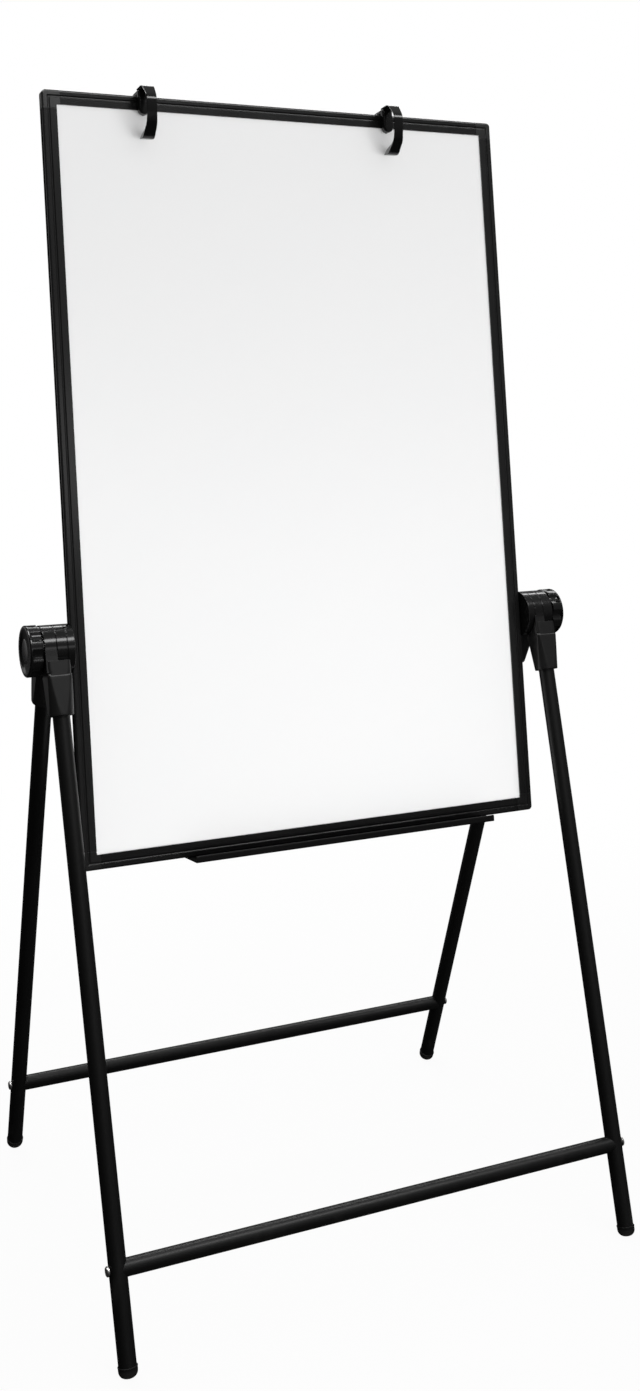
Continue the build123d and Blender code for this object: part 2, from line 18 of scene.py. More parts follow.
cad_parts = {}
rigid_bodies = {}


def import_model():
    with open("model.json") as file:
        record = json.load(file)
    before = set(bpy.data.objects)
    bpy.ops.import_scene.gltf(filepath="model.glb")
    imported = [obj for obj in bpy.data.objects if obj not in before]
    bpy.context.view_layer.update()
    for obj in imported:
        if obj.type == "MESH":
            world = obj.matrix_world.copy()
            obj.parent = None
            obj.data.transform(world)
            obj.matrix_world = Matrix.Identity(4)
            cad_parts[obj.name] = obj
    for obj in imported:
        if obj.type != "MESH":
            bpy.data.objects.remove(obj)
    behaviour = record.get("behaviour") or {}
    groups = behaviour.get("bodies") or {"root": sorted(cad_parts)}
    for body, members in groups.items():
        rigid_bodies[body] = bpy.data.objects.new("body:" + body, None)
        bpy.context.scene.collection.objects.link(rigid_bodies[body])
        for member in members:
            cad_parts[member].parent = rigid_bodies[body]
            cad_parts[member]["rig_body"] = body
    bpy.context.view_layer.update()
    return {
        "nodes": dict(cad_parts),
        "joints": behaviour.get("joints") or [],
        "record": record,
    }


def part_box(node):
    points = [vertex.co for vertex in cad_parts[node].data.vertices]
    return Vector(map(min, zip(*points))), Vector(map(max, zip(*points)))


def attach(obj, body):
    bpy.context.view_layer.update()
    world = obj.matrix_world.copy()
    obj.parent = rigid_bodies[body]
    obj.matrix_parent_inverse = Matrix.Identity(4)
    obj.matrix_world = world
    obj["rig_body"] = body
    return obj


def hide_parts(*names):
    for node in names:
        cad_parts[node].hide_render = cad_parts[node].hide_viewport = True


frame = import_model()

# %% [markdown]
# A few directions and places are shared by everything that follows. The joints of the frame say where the
# hub axis runs and which way the board slides, and that is enough to measure along the leaning board.
# Reading them from the frame is safer than typing them again, because they then change with the model.

# %% Places that the joints give
MM = 0.001
joints = {joint["name"]: joint for joint in frame["joints"]}
hub = Vector(joints["board_tilt"]["pos_m"])
board_up = Vector(joints["board_height"]["axis"]).normalized()
board_across = Vector((1, 0, 0))
board_out = board_across.cross(board_up)
sides = {"left": -1, "right": 1}


def extent(node, direction):
    """Lowest and highest place of a CAD node's points along a direction, measured from the hub axis."""
    places = [(vertex.co - hub).dot(direction) for vertex in frame["nodes"][node].data.vertices]
    return min(places), max(places)


board_high = extent("corner_top_left", board_up)[1]
print("hub axis at", round(hub.z, 4), "and the board's upper edge", round(board_high, 4), "above it")

# %% [markdown]
# ## Expressions instead of node spaghetti
#
# A finish is a small sum: some colour, plus a little noise, times a mask. Written with node calls that sum
# takes a page, so this class wraps one output socket and lets Python's own operators add the Math nodes.
# Numbers go through Math, colours and vectors through Mix and Vector Math, because a Math node turns a
# colour grey. Every other node comes from `node`, which sets a node's settings before its sockets.

# %% A socket that can be calculated with
class Socket:
    """One output of a shader node that Python expressions can use."""

    def __init__(self, output):
        self.output = output

    def node(self, kind, settings, inputs, output=0):
        """One output of a new node. Its settings are set first, then its sockets, by name or by number."""
        tree = self.output.id_data
        added = tree.nodes.new("ShaderNode" + kind)
        for name, value in settings.items():
            setattr(added, name, value)
        for name, value in inputs.items():
            if isinstance(value, Socket):
                tree.links.new(value.output, added.inputs[name])
            else:
                added.inputs[name].default_value = value
        return Socket(added.outputs[output])

    def math(self, operation, *values):
        return self.node("Math", {"operation": operation}, dict(enumerate(values)))

    def __add__(self, other):
        return self.math("ADD", self, other)

    def __rsub__(self, other):
        return self.math("SUBTRACT", other, self)

    def __mul__(self, other):
        return self.math("MULTIPLY", self, other)

    def __truediv__(self, other):
        return self.math("DIVIDE", self, other)

    __radd__ = __add__
    __rmul__ = __mul__

    def rise(self, low, high):
        """0 below low, 1 above high and a smooth rise between them."""
        ends = {"From Min": low, "From Max": high}
        return self.node("MapRange", {"interpolation_type": "SMOOTHSTEP"}, {"Value": self, **ends})

    def tint(self, low, high):
        """The colour low where this is 0 and high where it is 1. Either may be a socket too."""
        return self.node("Mix", {"data_type": "RGBA"}, {0: self, 6: low, 7: high}, 2)

    def stretched(self, factors):
        """A vector with each of its parts multiplied."""
        return self.node("VectorMath", {"operation": "MULTIPLY"}, {0: self, 1: factors})

    def along(self, direction):
        """How far a vector reaches along a direction."""
        return self.node("VectorMath", {"operation": "DOT_PRODUCT"}, {0: self, 1: direction}, "Value")

    def length(self):
        """How long a vector is."""
        return self.node("VectorMath", {"operation": "LENGTH"}, {0: self}, "Value")


print("socket wrapper ready:", len([name for name in vars(Socket) if not name.startswith("__")]), "methods")

# %% [markdown]
# Every finish starts from the same place: a Principled shader whose constants are set on its own sockets,
# and the Object coordinates of the piece. Each CAD node has its origin at the world origin, so Object
# coordinates are metres in the frame and still travel with the piece when its joint moves. `cloud` is the
# one pattern that almost every surface needs: soft patches of a given real size. `relief` turns such a
# pattern into a surface normal, and can round the sharp edges of an exact solid by a Bevel node at the same
# time: real mouldings have no knife edges, and it is on their rounded edges that light is caught.

# %% Starting a finish
BEVEL_SAMPLES = 6


def start_finish(name, **constants):
    """A new material, with its shader's constant sockets set, and the place of each point on the surface."""
    material = bpy.data.materials.new(name)
    material.use_nodes = True
    shader = material.node_tree.nodes["Principled BSDF"]
    for socket_name, value in constants.items():
        shader.inputs[socket_name.replace("_", " ")].default_value = value
    places = material.node_tree.nodes.new("ShaderNodeTexCoord")
    return material, Socket(places.outputs["Object"])


def feed(material, **values):
    """Links expressions to the shader's sockets: feed(material, Roughness=0.3 + 0.1 * dust)."""
    shader = material.node_tree.nodes["Principled BSDF"]
    for socket_name, value in values.items():
        material.node_tree.links.new(value.output, shader.inputs[socket_name.replace("_", " ")])


def cloud(place, size, detail=2.0):
    """Noise from 0 to 1 in patches about as large as size, in metres."""
    return place.node("TexNoise", {}, {"Vector": place, "Scale": 1 / size, "Detail": detail})


def relief(height, depth, edge=0.0):
    """A surface normal from a height between 0 and 1 that stands for this depth, with its edges softened."""
    inputs = {"Height": height, "Distance": depth}
    if edge:
        inputs["Normal"] = height.node("Bevel", {"samples": BEVEL_SAMPLES}, {"Radius": edge})
    return height.node("Bump", {}, inputs)


def grey(value, warmth=0.0):
    """An opaque grey, a little warmer or cooler than neutral."""
    return (value * (1 + warmth), value, value * (1 - warmth), 1.0)


print("finishes start from Object coordinates, in metres")

# %% [markdown]
# ## Powder coat on the tubes
#
# Powder coat is sprayed as dust and baked until it flows, so it never gets as flat as wet paint: it keeps
# an orange peel a millimetre or so across and two hundredths deep. That relief is what breaks a
# highlight on a black tube into a soft band. Near the floor the coat carries a little dust and shoe marks.

# %% Powder coat
def powder_coat():
    peel_size, peel_depth, tone_size, sheen_size = 1.4 * MM, 0.02 * MM, 90 * MM, 30 * MM
    mark_size, mark_stretch, mark_share, scuffed = 22 * MM, (1, 1, 0.35), (0.52, 0.78), (0.02, 0.16)
    material, place = start_finish("black_powder_coat", Specular_IOR_Level=0.4)
    marks = cloud(place.stretched(mark_stretch), mark_size, detail=5.0).rise(*mark_share)
    scuffs = marks * (1 - place.along((0, 0, 1)).rise(*scuffed))
    tone = cloud(place, tone_size).tint(grey(0.0015), grey(0.0025))
    feed(
        material,
        Base_Color=scuffs.tint(tone, grey(0.008, 0.05)),
        Roughness=0.38 + 0.06 * cloud(place, sheen_size) + 0.18 * scuffs,
        Normal=relief(cloud(place, peel_size), peel_depth),
    )
    return material


leg_finish = powder_coat()
print("powder coat:", len(leg_finish.node_tree.nodes), "nodes")

# %% [markdown]
# ## Drawn aluminium under black paint
#
# The board's frame is extruded, so its faces carry fine lines that run the whole length of each rail. The
# lines are noise stretched along the rail: patches a third of a millimetre wide and a hand long. The upright
# rails lean with the board, so their direction comes from the frame, and one function makes both versions.
# All rails carry one paint; the level rails get a darker base, a painted shade for the light from above.

# %% Painted extrusion
def painted_extrusion(name, length_way, width_way, shade):
    """Black paint over lines drawn along one direction, for a rail that is wide along the other."""
    line_width, line_length, line_depth, edge = 0.35 * MM, 0.12, 0.003 * MM, 0.5 * MM
    handled_size, handled_share, handled_shade = 60 * MM, (0.45, 0.8), 1.25 * shade
    material, place = start_finish(name, Specular_IOR_Level=0.5)
    run, across = place.along(length_way) / line_length, place.along(width_way) / line_width
    depth = place.along(length_way.cross(width_way)) / line_width
    drawn = place.node("CombineXYZ", {}, {"X": run, "Y": across, "Z": depth})
    lines = cloud(drawn, 1.0)
    handled = cloud(place, handled_size, detail=4.0).rise(*handled_share)
    feed(
        material,
        Base_Color=handled.tint(grey(shade), grey(handled_shade)),
        Roughness=0.17 + 0.05 * lines + 0.03 * handled,
        Normal=relief(lines, line_depth, edge),
    )
    return material


# Painted shade: the level rails' base is darker than the uprights' only to offset the light from above.
upright_finish = painted_extrusion("black_extrusion_upright", board_up, board_across, 0.008)
level_finish = painted_extrusion("black_extrusion_level", board_across, board_up, 0.0045)
print("lines run along", [round(part, 3) for part in board_up], "on upright rails and across on level ones")

# %% [markdown]
# ## Dry-wipe lacquer
#
# A dry-wipe sheet is steel under a hard white lacquer. It is never perfectly clean: wiping leaves broad
# greyish veils with a slight slant, and the lacquer is a touch duller where it was wiped most. Both are
# kept so faint that they show only as a living white. A very shallow, long relief bends reflections the
# way a thin sheet glued to a core does.

# %% Dry-wipe lacquer
def dry_wipe_lacquer():
    veil_size, veil_slant, veil_stretch, veil_share = 0.11, radians(28), (0.5, 1, 1.6), (0.3, 0.75)
    wave_size, wave_depth = 0.2, 0.03 * MM
    material, place = start_finish("dry_wipe_lacquer", Specular_IOR_Level=0.5)
    slanted = place.node("Mapping", {}, {"Vector": place, "Rotation": (0, veil_slant, 0)})
    veils = cloud(slanted.stretched(veil_stretch), veil_size, detail=3.0).rise(*veil_share)
    waves = cloud(place, wave_size, detail=1.0)
    feed(
        material,
        Base_Color=veils.tint(grey(0.882), grey(0.876, -0.002)),
        Roughness=0.24 + 0.03 * veils,
        Normal=relief(waves, wave_depth),
    )
    return material


board_finish = dry_wipe_lacquer()
print("lacquer:", len(board_finish.node_tree.nodes), "nodes")

# %% [markdown]
# ## Moulded plastics
#
# The hubs, knobs, hooks, sockets and tray are injection mouldings in black. They differ in how the mould
# was finished: polished for the knobs and hooks, a fine spark texture for the sockets. One function makes
# them all from a row of numbers, so the family stays a family. Two rows ask for more. The sockets change to
# the hubs' polish within the ring round the hub axis, and the tray reflects less than the others.

# %% Moulded plastics
RING_EDGE, NECK_START = 29.0 * MM, 31.0 * MM
FLOW_SIZE, RUBBED_SIZE, RUBBED_SHARE = 18 * MM, 9 * MM, (0.5, 0.85)


def moulded(name, shade, roughness, grain_size, grain_depth, edge, rings=None, gleam=0.5):
    """A black moulding. Rings is the shade and roughness near the hub axis, gleam how much it reflects."""
    material, place = start_finish(name, Specular_IOR_Level=gleam)
    flow = cloud(place, FLOW_SIZE, detail=3.0)
    rubbed = cloud(place, RUBBED_SIZE, detail=5.0).rise(*RUBBED_SHARE)
    tone = flow.tint(grey(shade * 0.85), grey(shade * 1.15))
    gloss = roughness + 0.04 * flow + 0.05 * rubbed
    if rings:
        ring_shade, ring_roughness = rings
        from_hub = place.node("VectorMath", {"operation": "SUBTRACT"}, {0: place, 1: hub})
        matt = from_hub.stretched((0, 1, 1)).length().rise(RING_EDGE, NECK_START)
        tone = matt.tint(grey(ring_shade), tone)
        gloss = matt * gloss + (1 - matt) * ring_roughness
    grain = relief(cloud(place, grain_size), grain_depth, edge)
    feed(material, Base_Color=tone, Roughness=gloss, Normal=grain)
    return material


# Shade, roughness, size and depth of the grain, and the radius that sharp edges are softened to
PLASTICS = {
    "hub_plastic": (0.003, 0.16, 0.9 * MM, 0.001 * MM, 0.0),
    "knob_plastic": (0.003, 0.16, 0.9 * MM, 0.001 * MM, 0.0),
    "hook_plastic": (0.002, 0.12, 1.2 * MM, 0.001 * MM, 0.0),
    "tray_plastic": (0.003, 0.4, 0.8 * MM, 0.006 * MM, 0.4 * MM),
    "corner_plastic": (0.007, 0.3, 0.6 * MM, 0.008 * MM, 0.8 * MM),
    "socket_plastic": (0.0045, 0.36, 0.6 * MM, 0.004 * MM, 0.6 * MM),
    "plug_plastic": (0.02, 0.5, 0.6 * MM, 0.02 * MM, 0.8 * MM),
}
EXTRAS = {"tray_plastic": {"gleam": 0.15}, "socket_plastic": {"rings": (0.003, 0.16)}}
plastics = {name: moulded(name, *row, **EXTRAS.get(name, {})) for name, row in PLASTICS.items()}
print("moulded plastics:", [finish.name for finish in plastics.values()])

# %% [markdown]
# ## Rubber, plated steel and fibreboard
#
# The feet are soft rubber: rough, and greyed by floor dust on the last centimetre. The bolt heads are
# zinc plated, a bright metal whose crystals give it a faint mottle. The core of the board is pressed wood
# fibre. It is hidden, but it is there, and it shows if someone takes a corner off.

# %% Rubber, steel and fibreboard
def foot_rubber():
    dusty_up_to, dust_size, pore_size, pore_depth = 14 * MM, 5 * MM, 0.8 * MM, 0.06 * MM
    material, place = start_finish("foot_rubber", Specular_IOR_Level=0.3)
    dust = (1 - place.along((0, 0, 1)).rise(0.0, dusty_up_to)) * cloud(place, dust_size, detail=5.0)
    feed(
        material,
        Base_Color=dust.tint(grey(0.003), grey(0.02, 0.08)),
        Roughness=0.62 + 0.25 * dust,
        Normal=relief(cloud(place, pore_size), pore_depth),
    )
    return material


def plated_steel():
    crystal_size, crystal_depth = 1.5 * MM, 0.01 * MM
    material, place = start_finish("plated_steel", Metallic=1.0)
    mottle = cloud(place, crystal_size, detail=4.0)
    feed(
        material,
        Base_Color=mottle.tint(grey(0.5, 0.01), grey(0.68, 0.02)),
        Roughness=0.24 + 0.16 * mottle,
        Normal=relief(mottle, crystal_depth),
    )
    return material


def pressed_fibre():
    fibre_size, fibre_depth, fibre_stretch = 3 * MM, 0.2 * MM, (1, 6, 3)
    material, place = start_finish("pressed_fibre", Specular_IOR_Level=0.2)
    fibres = cloud(place.stretched(fibre_stretch), fibre_size, detail=8.0)
    feed(
        material,
        Base_Color=fibres.tint((0.3, 0.2, 0.12, 1), (0.52, 0.4, 0.27, 1)),
        Roughness=0.8 + 0.15 * fibres,
        Normal=relief(fibres, fibre_depth),
    )
    return material


others = {"foot_rubber": foot_rubber(), "bright_steel": plated_steel(), "core_board": pressed_fibre()}
print("three more finishes, together", len(bpy.data.materials), "materials in the file")

# %% [markdown]
# The record names the slot that each piece takes its finish from. The rails are the one slot with two
# finishes, because their drawn lines follow each rail, so they are looked up by name first.

# %% Give every node its finish
finishes = {"leg_steel": leg_finish, "frame_aluminium": level_finish, "white_sheet": board_finish}
finishes |= plastics | others
own_finish = {"rail_left": upright_finish, "rail_right": upright_finish}
slots = {part["node"]: part["material_slot"] for part in frame["record"]["subparts"]}
for node_name, node in frame["nodes"].items():
    for holder in node.material_slots:
        holder.material = own_finish.get(node_name, finishes[slots[node_name]])
print("finished", len(frame["nodes"]), "nodes in", len(set(slots.values())), "slots")

# %% [markdown]
# ## New pieces
#
# Each remodelled piece is handed to the frame in the same way: it takes the finish of a CAD node and
# rides on that node's body. Most pieces stand in the node's place, so it is no longer shown. Only the
# socket sleeves lie on top of theirs. `ring_skin` joins rings of points into one closed skin, and
# `round_axis` lays such rings round an axis, for the knobs, their covers, the feet and the sleeves.

# %% Handing a piece over
def add_piece(name, vertices, faces, model_name, in_its_place=True):
    """A smooth mesh with a CAD node's finish that rides with the node, in its place or on top of it."""
    mesh = bpy.data.meshes.new(name)
    mesh.from_pydata(vertices, [], faces)
    shape = bmesh.new()
    shape.from_mesh(mesh)
    bmesh.ops.recalc_face_normals(shape, faces=shape.faces)
    shape.to_mesh(mesh)
    shape.free()
    mesh.shade_smooth()
    piece = bpy.data.objects.new(name, mesh)
    bpy.context.scene.collection.objects.link(piece)
    model = frame["nodes"][model_name]
    mesh.materials.append(model.material_slots[0].material)
    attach(piece, model["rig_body"])
    if in_its_place:
        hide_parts(model_name)
    return piece


def angles_round(count):
    """Evenly spaced angles for one whole turn."""
    return [tau * index / count for index in range(count)]


def ring_skin(ring_count, points_per_ring):
    """Faces between rings of points in order, where each end is a single point."""
    faces = []
    last = 1 + ring_count * points_per_ring
    for index in range(points_per_ring):
        following = (index + 1) % points_per_ring
        faces.append((0, 1 + following, 1 + index))
        for ring in range(ring_count - 1):
            near, far = 1 + ring * points_per_ring, 1 + (ring + 1) * points_per_ring
            faces.append((near + index, near + following, far + following, far + index))
        end = 1 + (ring_count - 1) * points_per_ring
        faces.append((end + index, end + following, last))
    return faces


def round_axis(origin, axis, first_way, second_way, rings):
    """Vertices and faces of a closed skin. Each ring is (distance along the axis, radii round the axis)."""
    middles = [origin + axis * place for place, radii in rings]
    vertices = [middles[0]]
    for middle, (place, radii) in zip(middles, rings, strict=True):
        for angle, radius in zip(angles_round(len(radii)), radii, strict=True):
            vertices.append(middle + (first_way * cos(angle) + second_way * sin(angle)) * radius)
    vertices.append(middles[-1])
    return vertices, ring_skin(len(rings), len(rings[0][1]))


def arc(centre, radius, start, end, steps):
    """Points on an arc in a profile, with angles in degrees."""
    angles = [radians(start + (end - start) * step / steps) for step in range(steps + 1)]
    return [(centre[0] + radius * cos(angle), centre[1] + radius * sin(angle)) for angle in angles]


# %% [markdown]
# ## Clamping knobs
#
# A clamping knob is turned by hand against a lot of friction, so its flank is scalloped for the fingers,
# and a smooth lip in front of the scallops keeps the hand from slipping off. An exact solid cuts each
# scallop with a sharp cylinder. A real moulding can't have those knife edges, so here the outline is one
# formula: the circle of the knob and the circles of the scallops, joined by a smooth minimum that rounds
# every lobe.

# %% Outline of a knob
FLUTES, FLUTE_TURN = 8, radians(-0.5)
FLUTE_RADIUS, FLUTE_DEPTH, LOBE_ROUND = 10.0 * MM, 3.2 * MM, 1.5 * MM
knob_radius = extent("knob_right", Vector((0, 0, 1)))[1]


def smooth_minimum(first, second, softness):
    """The smaller of two lengths, with the corner between them rounded over about softness."""
    blend = max(softness - abs(first - second), 0.0) / softness
    return min(first, second) - blend * blend * softness / 4


def grip_radius(angle):
    """Radius of the grip's scalloped outline at an angle about the hub axis."""
    pitch = tau / FLUTES
    away = abs((angle - FLUTE_TURN + pitch / 2) % pitch - pitch / 2)
    flute_centre = knob_radius + FLUTE_RADIUS - FLUTE_DEPTH
    reach = FLUTE_RADIUS**2 - (flute_centre * sin(away)) ** 2
    notch = flute_centre * cos(away) - sqrt(reach) if reach > 0 else flute_centre
    return smooth_minimum(knob_radius, notch, LOBE_ROUND)


print("knob radius", round(knob_radius, 4), "and its waist", round(grip_radius(FLUTE_TURN), 4))

# %% [markdown]
# The profile is a list of rings. Each ring says how far it stands from the knob's inner face, how far it
# lies inside the outline, and how strongly it follows the scallops. The scallops end in a soft step behind
# the lip. The back has a round pocket for the threaded insert, and the front has a seat for the cover.

# %% Knob grips
INSERT_POCKET, INSERT_DEPTH = 7.6 * MM, 9.2 * MM
LIP_WIDTH, STEP_ROUND, LIP_ROUND, BACK_ROUND = 3.2 * MM, 0.4 * MM, 2.0 * MM, 0.5 * MM
COVER_RADIUS, COVER_DEPTH, COVER_GAP = 15.0 * MM, 2.5 * MM, 0.35 * MM
BACK_RING, FRONT_RING, GRIP_POINTS = 0.6 * knob_radius, 1.4 * LIP_ROUND, FLUTES * 36


def grip_rings(width):
    """Rings of a grip as (distance from the inner face, inset from the outline, share of the scallops)."""
    step = width - LIP_WIDTH
    back = arc((BACK_ROUND, BACK_ROUND), BACK_ROUND, 180, 270, 4)
    flank = [(BACK_ROUND + (step - STEP_ROUND - BACK_ROUND) * part / 4, 0.0) for part in range(1, 4)]
    wall = [(step + STEP_ROUND * turn / 4, (1 - sin(turn * pi / 8)) / 2) for turn in range(-4, 5)]
    lip = arc((width - LIP_ROUND, LIP_ROUND), LIP_ROUND, -90, 0, 8)
    rings = [(place, inset, 1.0) for place, inset in back + flank]
    rings += [(place, 0.0, share) for place, share in wall]
    return rings + [(place, inset, 0.0) for place, inset in lip + [(width, FRONT_RING)]]


def add_grip(side_name, side):
    low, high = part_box(f"knob_{side_name}")
    start, width = low.x if side > 0 else high.x, high.x - low.x
    seat, seat_radius = width - COVER_DEPTH, COVER_RADIUS + COVER_GAP
    outline = [grip_radius(angle) for angle in angles_round(GRIP_POINTS)]
    pocket = [(INSERT_DEPTH, INSERT_POCKET), (0.0, INSERT_POCKET), (0.0, BACK_RING)]
    rings = [(place, [radius] * GRIP_POINTS) for place, radius in pocket]
    for place, inset, share in grip_rings(width):
        rings.append((place, [share * reach + (1 - share) * knob_radius - inset for reach in outline]))
    rings += [(place, [seat_radius] * GRIP_POINTS) for place in (width, seat)]
    origin, axis = Vector((start, hub.y, hub.z)), Vector((side, 0, 0))
    skin = round_axis(origin, axis, Vector((0, 1, 0)), Vector((0, 0, 1)), rings)
    return add_piece(f"grip_{side_name}", *skin, f"knob_{side_name}")


for side_name, side in sides.items():
    grip = add_grip(side_name, side)
    print(grip.name, len(grip.data.vertices), "points, width", round(grip.dimensions.x, 4))

# %% [markdown]
# ## Knob covers
#
# A cover is a turned shape, a shallow dome that hides the bolt's end. `turned` makes such a shape from a
# profile about any axis, because the feet need the same thing on the slanted axes of the legs. Whatever
# would lie under the floor is pressed up to it.

# %% Covers for the knobs
COVER_POINTS, DOME_RINGS = 96, 9


def turned(name, origin, axis, profile, points, model_name, floor=None):
    """A closed turned piece: its profile is (distance along the axis, radius), from end to end."""
    sideways = axis.orthogonal().normalized()
    rings = [(place, [radius] * points) for place, radius in profile]
    vertices, faces = round_axis(origin, axis, sideways, axis.cross(sideways), rings)
    if floor is not None:
        vertices = [Vector((vertex.x, vertex.y, max(vertex.z, floor))) for vertex in vertices]
    return add_piece(name, vertices, faces, model_name)


def add_cover(side_name, side):
    low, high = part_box(f"knob_cap_{side_name}")
    outer_x = high.x if side > 0 else low.x
    dome, edge = 0.5 * MM, 0.6 * MM
    profile = [(-COVER_DEPTH, COVER_RADIUS - COVER_GAP)]
    profile += arc((-dome - edge, COVER_RADIUS - edge), edge, 90, 0, 4)[:-1]
    for step in range(DOME_RINGS):
        radius = (COVER_RADIUS - edge) * (1 - step / (DOME_RINGS - 0.5))
        profile.append((-dome * (radius / COVER_RADIUS) ** 2, radius))
    origin = Vector((outer_x, hub.y, hub.z))
    way, node = Vector((side, 0, 0)), f"knob_cap_{side_name}"
    return turned(f"cover_{side_name}", origin, way, profile, COVER_POINTS, node)


for side_name, side in sides.items():
    cover = add_cover(side_name, side)
    print(cover.name, "reaches x", round(max(abs(v.co.x) for v in cover.data.vertices), 4))

# %% [markdown]
# ## Feet
#
# A foot is a rubber cap that is pushed over the tube's end: a rolled bead round its mouth, a slightly
# smaller waist and a rounded end. The leg leans two ways, so its axis is found from the tube itself: the
# middle of its upper end and the middle of its lower end. The floor gives the small flat it stands on.

# %% Feet
FOOT_RADIUS, FOOT_ROUND, FOOT_FLAT = 11.0 * MM, 7.5 * MM, 0.5 * MM
STEM_RADIUS, STEM_LENGTH, BEAD, WAIST = 8.4 * MM, 20.0 * MM, 0.7 * MM, 0.35 * MM
FOOT_POINTS, END_HEIGHT = 72, 7 * MM
legs = [(frame_name, side_name) for frame_name in ("front", "rear") for side_name in sides]


def leg_axis(node):
    """The middle of a tube's lower end, and the direction in which the tube runs down to it."""
    points = [vertex.co for vertex in frame["nodes"][node].data.vertices]
    lowest, highest = min(point.z for point in points), max(point.z for point in points)
    low_end = [point for point in points if point.z < lowest + END_HEIGHT]
    high_end = [point for point in points if point.z > highest - END_HEIGHT]
    low_middle, high_middle = (sum(end, Vector()) / len(end) for end in (low_end, high_end))
    return low_middle, (low_middle - high_middle).normalized()


def add_foot(frame_name, side_name):
    origin, down = leg_axis(f"{frame_name}_leg_{side_name}")
    upright, sideways = -down.z, sqrt(1 - down.z**2)
    waist = FOOT_RADIUS - WAIST
    low_edge = (waist - FOOT_ROUND) * sideways + FOOT_ROUND - FOOT_FLAT
    end = origin.z / upright + FOOT_ROUND - low_edge / upright
    profile = [(-STEM_LENGTH, STEM_RADIUS), (0.0, STEM_RADIUS)]
    profile += arc((BEAD, FOOT_RADIUS - BEAD), BEAD, 180, 30, 6)
    profile += arc((end - FOOT_ROUND, waist - FOOT_ROUND), FOOT_ROUND, 90, 0, 10)
    node = f"{frame_name}_foot_{side_name}"
    return turned(f"cap_{node}", origin, down, profile, FOOT_POINTS, node, floor=0.0)


for frame_name, side_name in legs:
    foot = add_foot(frame_name, side_name)
    print(foot.name, "stands at", [round(value, 4) for value in foot.data.vertices[-1].co])

# %% [markdown]
# ## Socket sleeves
#
# The lower part of each socket is a square block that was trimmed by a cone, as a pencil's flats are by the
# sharpener, so each flat ends in a long tongue. The smooth minimum of a square and of a circle that shrinks
# on the way down gives just that shape. The sleeve lies a hair outside the solid socket and covers it.

# %% Sleeves
SLEEVE_HALF, SLEEVE_LENGTH, SLEEVE_INSIDE, SLEEVE_ROUND = 14.4 * MM, 47.0 * MM, 10.1 * MM, 0.8 * MM
CONE_TOP, CONE_END, CREASE, SLEEVE_START_INSET = 18.9 * MM, 14.7 * MM, 0.35 * MM, 0.3 * MM
SLEEVE_POINTS, SLEEVE_STEPS = 144, 16


def sleeve_radius(angle, share):
    """Radius of a sleeve at an angle about the leg, a share of the way down."""
    flat = SLEEVE_HALF / max(abs(cos(angle)), abs(sin(angle)))
    return smooth_minimum(flat, CONE_TOP + (CONE_END - CONE_TOP) * share, CREASE)


def add_sleeve(frame_name, side_name):
    origin, down = leg_axis(f"{frame_name}_leg_{side_name}")
    node = f"{frame_name}_socket_{side_name}"
    end = extent(node, down)[1] - (origin - hub).dot(down) + SLEEVE_ROUND / 4
    sideways = (board_across - down * down.x).normalized()
    outer = []
    for step in range(SLEEVE_STEPS + 1):
        share = step / SLEEVE_STEPS
        place = end - SLEEVE_ROUND - (SLEEVE_LENGTH - SLEEVE_ROUND) * (1 - share)
        outer.append((place, 0.0 if step else SLEEVE_START_INSET, share))
    for kept, out in arc((0, 0), SLEEVE_ROUND, 15, 90, 5):
        outer.append((end - SLEEVE_ROUND + out, SLEEVE_ROUND - kept, 1.0))
    mouth, angles = [SLEEVE_INSIDE] * SLEEVE_POINTS, angles_round(SLEEVE_POINTS)
    rings = [(end - SLEEVE_LENGTH, mouth)]
    for place, inset, share in outer:
        rings.append((place, [sleeve_radius(angle, share) - inset for angle in angles]))
    rings.append((end, mouth))
    skin = round_axis(origin, down, sideways, down.cross(sideways), rings)
    return add_piece(f"sleeve_{frame_name}_{side_name}", *skin, node, in_its_place=False)


for frame_name, side_name in legs:
    sleeve = add_sleeve(frame_name, side_name)
    print(sleeve.name, "ends at height", round(min(vertex.co.z for vertex in sleeve.data.vertices), 4))

# %% [markdown]
# ## Flip-chart hooks
#
# A hook is one glossy moulding: a clip that grips the top rail, and an arm that leaves it like a swan's
# neck and turns back under into a blunt toe. Its shine lives on its rounded edges and on the bend. So the
# clip and the arm are both made as bars: an outer and an inner edge are drawn from the side, their corners
# are softened, and a rounded rectangle is spanned between each pair of points. All faces but those of the
# two ends are then four-sided, and every edge is truly round.

# %% Bars between two edges
BAR_SUPPORT, CORNER_STEPS, CURVE_STEPS, CURVE_SHARE = 0.3 * MM, 4, 5, 0.3
LARGEST_CORNER, LEAST_CORNER, END_ROUND, END_TURNS = 0.8, 0.15, 0.8 * MM, (30, 60, 90)
board_face = extent("rail_top", board_out)[1]


def softened(corners, reach):
    """A line through corners, where each inner corner becomes a curve that starts this reach before it."""
    corners = [Vector(corner) for corner in corners]
    line = [corners[0]]
    for before, corner, after in zip(corners, corners[1:], corners[2:]):
        ways = (before - corner, after - corner)
        start, end = (corner + way.normalized() * min(reach, way.length * CURVE_SHARE) for way in ways)
        for step in range(CURVE_STEPS + 1):
            part = step / CURVE_STEPS
            line.append(start * (1 - part) ** 2 + corner * 2 * part * (1 - part) + end * part**2)
    return line + [corners[-1]]


